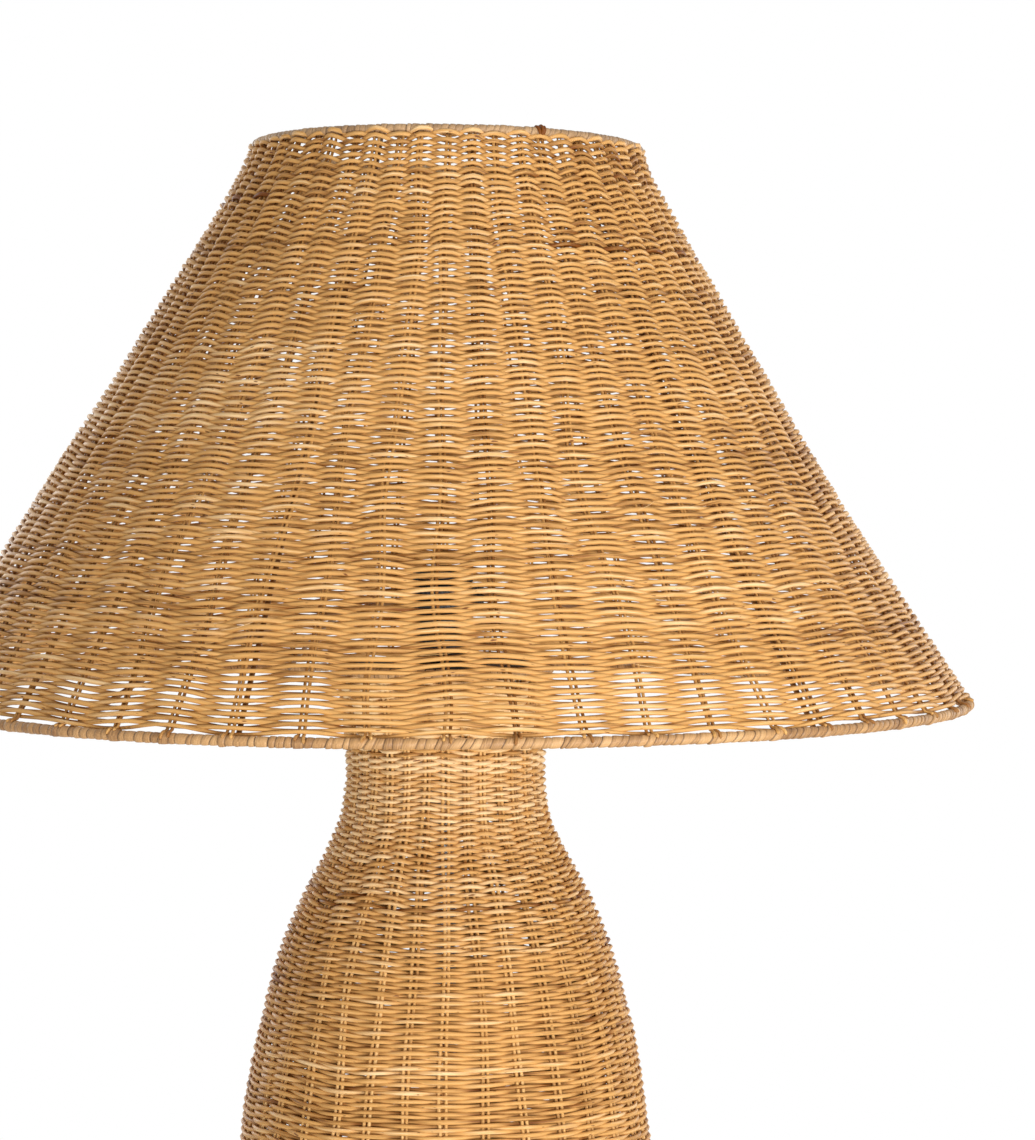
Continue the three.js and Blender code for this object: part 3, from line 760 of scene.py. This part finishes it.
def mottled_finish(name, colour, other, scale, rough, metallic=0.0, grain=None):
    """A finish of two near colours in clouds, with a rough range, and a fine grain in its surface."""
    made = Finish(name, rough[0], metallic)
    places = made.places()
    clouds = made.noise(places, scale, 4)
    made.link(made.ramp(clouds, [(0.35, colour), (0.68, other)]), made.shader.inputs["Base Color"])
    made.link(made.spread(made.noise(places, scale * 3, 2), *rough), made.shader.inputs["Roughness"])
    made.bump(made.noise(places, grain or scale * 20, 2), COAT_DEPTH, COAT_BUMP)
    return made.material


woven_cane = cane_finish("woven_cane", linear(118, 64, 12), linear(211, 160, 94), linear(240, 206, 156))
stake_cane = cane_finish("stake_cane", linear(146, 98, 50), linear(212, 164, 98), linear(238, 198, 136))
# The last colour of each peel is the painted shade in the seams between its wraps
bound_peel = peel_finish(
    "bound_peel", linear(128, 88, 50), linear(184, 140, 90), linear(214, 172, 120), linear(44, 22, 8)
)
top_peel = peel_finish(
    "top_peel", linear(120, 88, 56), linear(174, 138, 98), linear(204, 168, 124), linear(92, 64, 40)
)
brown_paint = mottled_finish(
    "brown_paint", linear(124, 86, 50), linear(156, 114, 70), 30, (0.42, 0.6), 0.1
)
black_powder = mottled_finish(
    "black_powder_coat", linear(24, 24, 26), linear(38, 38, 41), 40, (0.5, 0.68), 0.2, 1400
)
zinc = mottled_finish(
    "zinc_plate", linear(176, 178, 178), linear(206, 206, 202), 60, (0.26, 0.44), 1.0, 900
)
black_plastic = mottled_finish(
    "black_plastic", linear(16, 16, 17), linear(30, 29, 29), 50, (0.34, 0.5), 0.0, 1600
)
ceramic = mottled_finish(
    "white_ceramic", linear(224, 219, 208), linear(240, 237, 230), 80, (0.3, 0.5), 0.0, 1000
)
brass = mottled_finish(
    "screw_brass", linear(186, 142, 66), linear(220, 182, 98), 45, (0.2, 0.4), 1.0, 800
)
rubber = mottled_finish(
    "black_rubber", linear(20, 20, 20), linear(36, 35, 34), 60, (0.75, 0.9), 0.0, 1200
)


def finish_piece(piece, body, slot, paint, *nodes):
    """A piece rides on its body, stands for its nodes, and gets its finish."""
    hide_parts(*nodes)
    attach(piece, body)
    piece.data.materials.clear()
    piece.data.materials.append(paint)


# The woven shade
shade_form = shade_wall()
shade = Weave(
    shade_form,
    stakes=SHADE_STAKES,
    low=5.7 * MM,
    high=shade_form.length - 1.4 * MM,
    pitch=lambda share: (2.24 + 0.16 * share) * MM,
    weaver=SHADE_WEAVER,
    stake=SHADE_STAKE,
    reach=SHADE_REACH,
    wander=0.10,
    ripple=1.1 * MM,
    turns=26,
    arch=lambda share: np.interp(share, [0, 0.55, 1], [0, 0.25, 0.75]) * MM,
    pale=lambda share: 0.02 * (1 - share),
)
for piece in weave_pieces("shade_weaver", shade, SHADE_WEAVER_PIECES):
    finish_piece(piece, "shade", "rattan", woven_cane, "shade_weave")
shade_stakes = stake_pieces(
    "shade_stakes", shade, SHADE_BINDING, SHADE_STAKE_ANGLE, SHADE_STAKE_TONES
)
finish_piece(shade_stakes, "shade", "rattan", stake_cane, "shade_weave")
shade_fibres = stray_fibres("shade_fibres", shade, SHADE_FIBRES)
finish_piece(shade_fibres, "shade", "rattan", woven_cane, "shade_weave")

# The woven stand
stand_form = stand_wall()
stand = Weave(
    stand_form,
    stakes=STAND_STAKES,
    low=5.2 * MM,
    high=stand_form.length - 4.6 * MM,
    pitch=lambda share: np.interp(share, [0, 0.72, 0.9, 1], [2.5, 2.5, 2.3, 2.22]) * MM,
    weaver=STAND_WEAVER,
    stake=STAND_STAKE,
    reach=STAND_REACH,
    wander=0.08,
    ripple=0.8 * MM,
    turns=10,
    arch=lambda share: 0,
    # pale: the cane is drawn paler up the neck, partly paler cane and partly painted light under the shade's
    # rim, and a touch darker on the shoulder
    pale=lambda share: np.interp(share, [0.6, 0.8, 0.93, 1], [0, -0.06, 0.42, 0.45]),
    bush_up=stand_form.up_at(BUSH_Z),
)
for piece in weave_pieces("stand_weaver", stand, STAND_WEAVER_PIECES):
    finish_piece(piece, "stand", "rattan", woven_cane, "stand_weave")
stand_stakes = stake_pieces(
    "stand_stakes", stand, STAND_BINDING, STAND_STAKE_ANGLE, STAND_STAKE_TONES
)
finish_piece(stand_stakes, "stand", "rattan", stake_cane, "stand_weave")
stand_fibres = stray_fibres("stand_fibres", stand, STAND_FIBRES)
finish_piece(stand_fibres, "stand", "rattan", woven_cane, "stand_weave")


# The bound rims and the rings inside them
MEAN_SLANT, SLANT_CHANGE = 0.22, 0.25


def side_slant(turn):
    """Seams stand nearly upright on the left and lean on the right."""
    return MEAN_SLANT + SLANT_CHANGE * np.cos(turn)


at_stakes = shade.stake_turns(shade.low)
shade_rim = bound_rim(
    "shade_rim_peel", shade.wall, 0, SHADE_BINDING, SHADE_RIM_WRAPS, side_slant, at_stakes
)
finish_piece(shade_rim, "shade", "peel", bound_peel, "shade_rim_binding")
shade_top = bound_rim(
    "shade_top_peel", shade.wall, shade.wall.length, TOP_BINDING, SHADE_TOP_WRAPS, side_slant
)
finish_piece(shade_top, "shade", "peel", top_peel, "shade_top_binding")
lip = bound_rim("lip_peel", stand.wall, stand.wall.length, STAND_BINDING, LIP_WRAPS, side_slant)
finish_piece(lip, "stand", "peel", bound_peel, "lip_binding")
foot = bound_rim("foot_peel", stand.wall, 0, STAND_BINDING, FOOT_WRAPS, side_slant)
finish_piece(foot, "stand", "peel", bound_peel, "foot_binding")


# The knot's loops: how far each leans, its size and its place beside the middle, in mm, and its tone
KNOT_LOOPS = [(-0.9, 3.3, -1.2, -0.6), (0.6, 3.9, 0.3, -0.4), (1.2, 3.4, 1.6, -0.5)]
KNOT_TURN = 0.47
KNOT_POINTS = 15


def top_knot():
    """The end of the top rim's peel, knotted a little right of the front."""
    loops, tones = [], []
    top = shade.wall.length
    around = np.linspace(0, 2 * np.pi, KNOT_POINTS, endpoint=False)
    for lean, size, slip, tone in KNOT_LOOPS:
        turn = FRONT + KNOT_TURN + (slip + lean * np.sin(around)) * MM / SHADE_TOP_R
        radius = SHADE_TOP_R + size * MM * np.cos(around)
        height = TOP_Z + size * MM * np.sin(around) + shade.wall.sag(top, turn)
        loops.append(round_lamp(radius, height, turn, shade.wall.drift(top)))
        tones.append(np.full(KNOT_POINTS, tone))
    return strands("shade_top_knot", loops, PEEL_KNOT, tones)


finish_piece(top_knot(), "shade", "peel", woven_cane, "shade_top_binding")


# Wire and rod: how they end and bend, their thickness, count, direction in degrees and depth inside the wall
ROD_TIP = 0.03 * MM
ROD_TIP_WIDTH = 0.001
CORNER_CUTS = 3
CORNER_SHARE = 0.25
ARM, RIB, UPRIGHT = 3.2 * MM, 3.2 * MM, 6 * MM
RIB_COUNT, ARM_COUNT, UPRIGHT_COUNT = 6, 3, 4
RIB_TURN, ARM_TURN, UPRIGHT_TURN = 10, 230, 45
RIB_STATIONS, UPRIGHT_STATIONS = 40, 90
RIB_INSET, UPRIGHT_INSET = 5.4 * MM, 7.2 * MM
FULL_TURN = 360


def beyond(end, before):
    """A point a hair past the end of a rod, where its flat end comes to a middle."""
    way = end - before
    return (end + ROD_TIP * way / np.linalg.norm(way))[None, :]


def wire(name, paths, thickness, closed):
    """Bent rods of even thickness. Open ones end square."""
    widths = None
    if not closed:
        paths = [np.concatenate([beyond(p[0], p[1]), p, beyond(p[-1], p[-2])]) for p in paths]
        widths = [np.pad(np.ones(len(p) - 2), 1, constant_values=ROD_TIP_WIDTH) for p in paths]
    tones = [np.zeros(len(p)) for p in paths]
    return strands(name, paths, thickness, tones, widths, closed=closed, sides=ROD_SIDES)


def circle(radius, wall, up):
    """A level ring in or inside a wall, as far up as that place of the wall."""
    turn = np.linspace(0, 2 * np.pi, RING_AROUND, endpoint=False)
    height = np.interp(up, wall.up, wall.heights) + wall.sag(up, turn)
    return round_lamp(radius, height, turn, wall.drift(up))


def rounded(path):
    """A path with its corners cut, its ends kept."""
    path = np.array(path, float)
    for _ in range(CORNER_CUTS):
        near = (1 - CORNER_SHARE) * path[:-1] + CORNER_SHARE * path[1:]
        far = CORNER_SHARE * path[:-1] + (1 - CORNER_SHARE) * path[1:]
        cut = np.stack([near, far], axis=1).reshape(-1, path.shape[1])
        path = np.concatenate([path[:1], cut, path[-1:]])
    return path


def spoke(path, degrees):
    """A path of radius and height set at an angle round the lamp."""
    path = np.array(path)
    return round_lamp(path[:, 0], path[:, 1], np.full(len(path), math.radians(degrees)))


# The rings and hoops, each with its rod's thickness in mm and the weave that it is in
HOOPS = [
    ("shade_rim_ring", 4, shade),
    ("shade_top_ring", 3.2, shade),
    ("foot_ring", 4, stand),
    ("lip_ring", 4, stand),
    ("lower_hoop", 5, stand),
    ("belly_hoop", 5, stand),
    ("shoulder_hoop", 5, stand),
    ("neck_hoop", 5, stand),
]
for node, thick, weave in HOOPS:
    ring = circle(reach(node) - thick / 2 * MM, weave.wall, weave.wall.up_at(middle_height(node)))
    body = "shade" if weave is shade else "stand"
    finish_piece(wire(f"{node}_wire", [ring], thick * MM, True), body, "painted_steel", brown_paint, node)

for i in range(RIB_COUNT):
    turn = math.radians(RIB_TURN + FULL_TURN // RIB_COUNT * i)
    ups = np.linspace(0, shade.wall.length, RIB_STATIONS)
    places = shade.wall.place(np.full(RIB_STATIONS, turn), ups, -RIB_INSET)
    rib = wire(f"shade_rib_wire_{i + 1}", [places], RIB, False)
    finish_piece(rib, "shade", "painted_steel", brown_paint, f"shade_rib_{i + 1}")

HUB_Z = middle_height("spider_hub")
HUB_R = reach("spider_hub")
HUB_GAP = 0.3 * MM
RIM_GAP = 4.6 * MM
RIM_DROP = 1.9 * MM
ARM_BENDS = [(0.16, 0.31), (0.34, 0.62), (0.6, 0.82)]
arm_start = HUB_R + HUB_GAP
arm_rise = HUB_Z - RIM_Z
bends = [
    (SHADE_RIM_R - (SHADE_RIM_R - arm_start) * out, RIM_Z + arm_rise * rise)
    for out, rise in ARM_BENDS
]
arm_lean = math.atan2(bends[0][1] - RIM_Z + RIM_DROP, SHADE_RIM_R - bends[0][0])
arm_end = (
    SHADE_RIM_R - RIM_GAP * math.cos(arm_lean),
    RIM_Z - RIM_DROP + RIM_GAP * math.sin(arm_lean),
)
for i in range(ARM_COUNT):
    path = rounded([arm_end, *bends, (arm_start, HUB_Z)])
    arm = wire(f"spider_arm_wire_{i + 1}", [spoke(path, ARM_TURN + FULL_TURN // ARM_COUNT * i)], ARM, False)
    finish_piece(arm, "shade", "painted_steel", brown_paint, f"spider_arm_{i + 1}")

for i in range(UPRIGHT_COUNT):
    low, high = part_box(f"upright_{i + 1}")
    heights = np.linspace(low.z, high.z, UPRIGHT_STATIONS)
    ups = np.interp(heights, stand.wall.heights, stand.wall.up)
    turn = np.full(UPRIGHT_STATIONS, math.radians(UPRIGHT_TURN + FULL_TURN // UPRIGHT_COUNT * i))
    places = round_lamp(stand.wall.radius(ups) - UPRIGHT_INSET, heights, turn, stand.wall.drift(ups))
    upright = wire(f"upright_rod_{i + 1}", [places], UPRIGHT, False)
    finish_piece(upright, "stand", "painted_steel", brown_paint, f"upright_{i + 1}")


# The lampholder and the turned fittings, in millimetres where no unit is given
THREAD_STATIONS = 7
THREAD_START = 0.6
NUT_OUTER, NUT_INNER, NUT_CHAMFER = 26.5 * MM, 20.05 * MM, 0.8 * MM
NUT_AROUND, NUT_RIBS, NUT_RIB_DEPTH = 216, 54, 0.55 * MM
NUT_DENTS = np.array([0, 0.3, 1, 1, 0.3, 0])
BORE, NIPPLE_BORE, HUB_BORE = 5.3, 3.5, 21
EDGE, HUB_EDGE = 0.3, 0.4
RECESS, RECESS_TOP = 12.3, 10.8
PLATE_EDGE, PLATE_BREAK = 1.5, 0.4


def threaded(name, outer, wall, bottom, top, pitch, depth, plain):
    """A sleeve with a round thread on it, plain near its two ends. Sizes in millimetres."""
    levels = np.linspace(bottom, top, int((top - bottom) / pitch * THREAD_STATIONS))
    turn = np.linspace(0, 2 * np.pi, AROUND, endpoint=False)
    wave = 0.5 - 0.5 * np.cos(2 * np.pi * (levels[None, :] / pitch - turn[:, None] / (2 * np.pi)))
    ends = np.clip(np.minimum(levels - bottom, top - levels) / plain - THREAD_START, 0, 1)
    outside = outer - depth * wave * ends
    inside = np.tile([outer - wall, outer - wall], (AROUND, 1))
    radii = np.concatenate([outside, inside], axis=1) * MM
    heights = np.tile(np.concatenate([levels, [top, bottom]]), (AROUND, 1)) * MM
    return soften(turned_ring(name, radii, heights), THREAD_EDGE)


def ring_nut(name, node):
    """A ring nut with a ribbed edge."""
    low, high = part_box(node)
    bottom, top = low.z, high.z
    turn = np.linspace(0, 2 * np.pi, NUT_AROUND, endpoint=False)
    ribs = NUT_RIB_DEPTH * (0.5 - 0.5 * np.cos(turn * NUT_RIBS)) ** 2
    section = [
        (NUT_INNER, bottom), (NUT_OUTER - NUT_CHAMFER, bottom), (NUT_OUTER, bottom + NUT_CHAMFER),
        (NUT_OUTER, top - NUT_CHAMFER), (NUT_OUTER - NUT_CHAMFER, top), (NUT_INNER, top),
    ]
    radii = np.array([radius for radius, _ in section])[None, :] - ribs[:, None] * NUT_DENTS[None, :]
    heights = np.tile([height for _, height in section], (NUT_AROUND, 1))
    return soften(turned_ring(name, radii, heights), NUT_EDGE)


def fitting(node, body, slot, paint, outline):
    """A turned fitting in place of a node."""
    finish_piece(turned(f"{node}_turned", outline), body, slot, paint, node)


def plain_outline(node, inner, edge=EDGE):
    """A sleeve or disc as wide and high as a node, with its outer edges broken. Sizes in millimetres."""
    low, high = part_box(node)
    outer, bottom, top = high.x / MM, low.z / MM, high.z / MM
    return [
        (inner, bottom), (outer - edge, bottom), (outer, bottom + edge),
        (outer, top - edge), (outer - edge, top), (inner, top),
    ]


STAND_SLEEVES = [
    ("centre_tube", BORE), ("base_washer", BORE), ("cap_washer", BORE),
    ("base_nipple", NIPPLE_BORE), ("cap_nipple", NIPPLE_BORE),
]
for node, inner in STAND_SLEEVES:
    fitting(node, "stand", "zinc_steel", zinc, plain_outline(node, inner))
fitting("cap_disc", "stand", "black_steel", black_powder, plain_outline("cap_disc", BORE))
fitting("spider_hub", "shade", "black_steel", black_powder, plain_outline("spider_hub", HUB_BORE, HUB_EDGE))
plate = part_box("base_plate")
plate_low, plate_high, plate_out = plate[0].z / MM, plate[1].z / MM, plate[1].x / MM
fitting("base_plate", "stand", "black_steel", black_powder, [
    (RECESS, plate_low),
    (plate_out - PLATE_EDGE, plate_low),
    (plate_out - PLATE_BREAK, plate_low + PLATE_BREAK),
    (plate_out, plate_low + PLATE_EDGE),
    (plate_out, plate_high - PLATE_EDGE),
    (plate_out - PLATE_BREAK, plate_high - PLATE_BREAK),
    (plate_out - PLATE_EDGE, plate_high),
    (BORE, plate_high),
    (BORE, RECESS_TOP),
    (RECESS, RECESS_TOP),
])

# The holder's cap: radius and height over the cap disc
HOLDER_CAP = [
    (5.3, 0.3), (21.7, 0.3), (22.3, 0.6), (22.5, 1.2), (22.5, 2.4), (22.2, 3), (21.6, 3.6),
    (20.7, 5.5), (20.1, 8.5), (19.8, 12), (19.75, 15), (17.55, 15), (17.55, 4), (5.3, 4),
]
holder = CAP_Z / MM
holder_outline = [(radius, holder + up) for radius, up in HOLDER_CAP]
fitting("holder_cap", "stand", "black_plastic", black_plastic, holder_outline)
skirt = threaded(
    "threaded_skirt", outer=19.75, wall=2.2, bottom=holder + 15.3, top=holder + 59, pitch=2.6, depth=0.9,
    plain=1.6,
)
finish_piece(skirt, "stand", "black_plastic", black_plastic, "holder_skirt")
shell = threaded(
    "threaded_shell", outer=14.35, wall=0.9, bottom=holder + 28.1, top=holder + 52.1, pitch=3.6, depth=0.45,
    plain=1.0,
)
finish_piece(shell, "stand", "brass", brass, "holder_screw_shell")
seat_ring = ring_nut("ribbed_seat_ring", "seat_ring")
finish_piece(seat_ring, "seat", "black_plastic", black_plastic, "seat_ring")
clamp_ring = ring_nut("ribbed_clamp_ring", "clamp_ring")
finish_piece(clamp_ring, "clamp", "black_plastic", black_plastic, "clamp_ring")

# CAD nodes that stay as they are, each with its finish
KEPT = {
    zinc: ["base_nut", "cap_nut"],
    black_plastic: ["cord_bush"],
    ceramic: ["holder_core"],
    brass: ["holder_contact", "terminal_screw_1", "terminal_screw_2"],
    rubber: ["foot_pad_1", "foot_pad_2", "foot_pad_3", "foot_pad_4"],
}
for paint, nodes in KEPT.items():
    for node in nodes:
        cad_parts[node].data.materials.clear()
        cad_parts[node].data.materials.append(paint)


# Light, floor and backdrop
SOFT_COLOUR, SOFT_STRENGTH = (1, 0.98, 0.94, 1), 0.41
WHITE = (1, 1, 1, 1)
FLOOR_RADIUS, FLOOR_COLOUR = 2.4, (0.9, 0.9, 0.89, 1)


def area_light(name, place, aim, size, power):
    bpy.ops.object.light_add(type="AREA", location=place)
    light = bpy.context.object
    light.name = name
    light.data.shape = "DISK"
    light.data.size = size
    light.data.energy = power
    to = np.array(aim) - np.array(place)
    flat = math.hypot(to[0], to[1])
    light.rotation_euler = (math.atan2(flat, -to[2]), 0, math.atan2(to[1], to[0]) - math.pi / 2)


area_light("key", (2.1, -2.4, 0.95), (0, 0, 1.1), 1.1, 43)
area_light("high", (1.2, -2.0, 2.7), (0, 0, 1.3), 1.1, 14)
area_light("low", (0.3, -1.9, 0.7), (0, 0, 1.1), 0.7, 18)
area_light("fill", (-2.4, -2.2, 1.0), (0, 0, 1.0), 2.2, 8)
area_light("behind_left", (-2.0, 2.6, 1.7), (0, 0, 1.0), 2.0, 30)
area_light("behind_right", (2.5, 2.2, 1.4), (0, 0, 1.0), 2.0, 22)

world = bpy.data.worlds.new("studio")
scene.world = world
world.use_nodes = True
tree = world.node_tree
tree.nodes.clear()
path = tree.nodes.new("ShaderNodeLightPath")
seen = tree.nodes.new("ShaderNodeMath")
seen.operation = "MAXIMUM"
clear = tree.nodes.new("ShaderNodeMath")
clear.operation = "MAXIMUM"
tree.links.new(path.outputs["Is Camera Ray"], seen.inputs[0])
tree.links.new(path.outputs["Is Glossy Ray"], seen.inputs[1])
tree.links.new(seen.outputs[0], clear.inputs[0])
tree.links.new(path.outputs["Is Transmission Ray"], clear.inputs[1])
soft = tree.nodes.new("ShaderNodeBackground")
soft.inputs["Color"].default_value = SOFT_COLOUR
soft.inputs["Strength"].default_value = SOFT_STRENGTH
white = tree.nodes.new("ShaderNodeBackground")
white.inputs["Color"].default_value = WHITE
white.inputs["Strength"].default_value = 1
mix = tree.nodes.new("ShaderNodeMixShader")
tree.links.new(clear.outputs[0], mix.inputs["Fac"])
tree.links.new(soft.outputs[0], mix.inputs[1])
tree.links.new(white.outputs[0], mix.inputs[2])
out = tree.nodes.new("ShaderNodeOutputWorld")
tree.links.new(mix.outputs[0], out.inputs["Surface"])

deselect()
bpy.ops.mesh.primitive_circle_add(
    vertices=RING_AROUND, radius=FLOOR_RADIUS, fill_type="NGON", location=(0, 0, 0)
)
floor = bpy.context.object
floor.name = "floor"
floor_paint = Finish("floor_paint", 0.8)
floor_paint.shader.inputs["Base Color"].default_value = FLOOR_COLOUR
floor.data.materials.append(floor_paint.material)

scene.view_settings.view_transform = "Standard"
